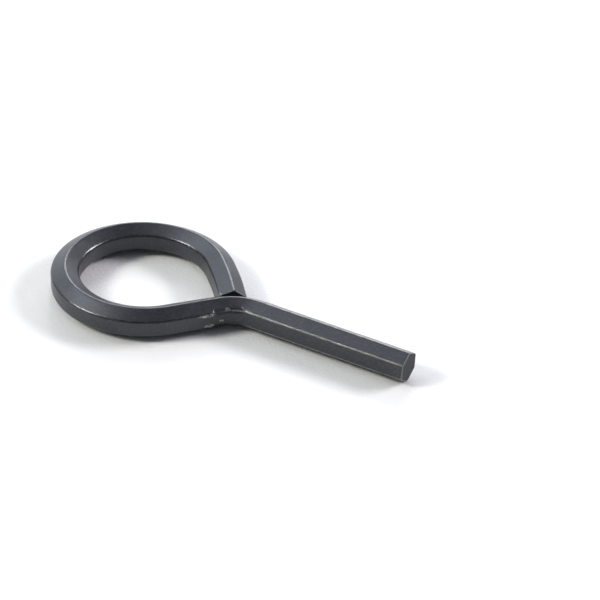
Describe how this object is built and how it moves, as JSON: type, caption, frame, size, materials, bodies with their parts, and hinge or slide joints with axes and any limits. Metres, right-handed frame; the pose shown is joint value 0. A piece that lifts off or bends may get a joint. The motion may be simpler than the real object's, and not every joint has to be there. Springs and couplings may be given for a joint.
{
  "type": "radiator bleed key",
  "caption": "Hexagonal steel bar key with a straight driving shank, bent at the other end into a nearly closed finger eye, for turning a radiator's bleed screw.",
  "frame": {"origin": "centre of the tip's end face, on the shank's axis", "axes": "+X along the shank and out of its tip, +Z square to the flat eye, +Y completes the set, the bar's sawn end is on the +Y side of the eye"},
  "size_m": [0.0683, 0.0326, 0.0056],
  "materials": {
    "black_oxide_steel": "black oxide over drawn steel, satin, with a lengthwise grain"
  },
  "bodies": {
    "root": {"key_bar": "black_oxide_steel"}
  },
  "joints": []
}
